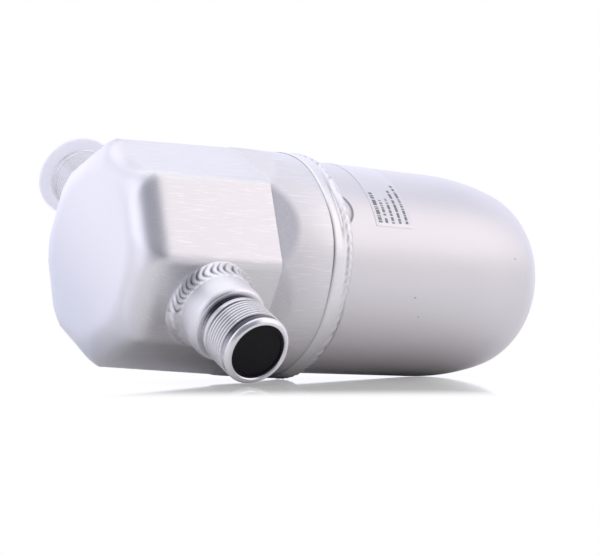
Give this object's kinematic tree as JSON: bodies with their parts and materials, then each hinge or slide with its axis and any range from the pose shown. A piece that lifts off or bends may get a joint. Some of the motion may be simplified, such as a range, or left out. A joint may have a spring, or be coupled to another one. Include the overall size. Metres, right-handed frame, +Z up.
{
  "type": "receiver drier",
  "caption": "Welded aluminium refrigerant receiver drier: octagonal head, drawn can and opposite threaded fittings, closed for transit, with pick-up tube, filter and desiccant inside.",
  "frame": {"origin": "middle of the object's footprint on the floor, as it lies", "axes": "+X along the drier from the head to the can's closed end (tipped about two degrees down to the can), +Y towards the rear fitting, +Z up from the floor"},
  "size_m": [0.2146, 0.1598, 0.1032],
  "materials": {
    "head_aluminium": "satin, finely brushed along the axis",
    "can_aluminium": "satin, drawn",
    "weld_aluminium": "as welded, rippled",
    "fitting_aluminium": "turned",
    "tube_aluminium": "satin",
    "braze_aluminium": "dull, as brazed",
    "label_film": "silvery film with printed rows",
    "plug_rubber": "matt",
    "cap_plastic": "pale, slightly waxy",
    "inner_plastic": "natural nylon",
    "tie_plastic": "matt",
    "bag_felt": "felt over beads",
    "screen_mesh": "fine woven mesh"
  },
  "bodies": {
    "root": {"head_shell": "head_aluminium", "can_shell": "can_aluminium", "seam_weld": "weld_aluminium", "front_fitting": "fitting_aluminium", "rear_fitting": "fitting_aluminium", "front_fitting_weld": "weld_aluminium", "rear_fitting_weld": "weld_aluminium", "front_plug": "plug_rubber", "rear_cap": "cap_plastic", "can_label": "label_film", "pickup_tube": "tube_aluminium", "tube_braze": "braze_aluminium", "deflector": "inner_plastic", "tube_spacer": "inner_plastic", "desiccant_bag_lower": "bag_felt", "desiccant_bag_upper": "bag_felt", "bag_ties": "tie_plastic", "filter_housing_lower": "inner_plastic", "filter_housing_upper": "inner_plastic", "filter_screen": "screen_mesh"}
  },
  "joints": []
}
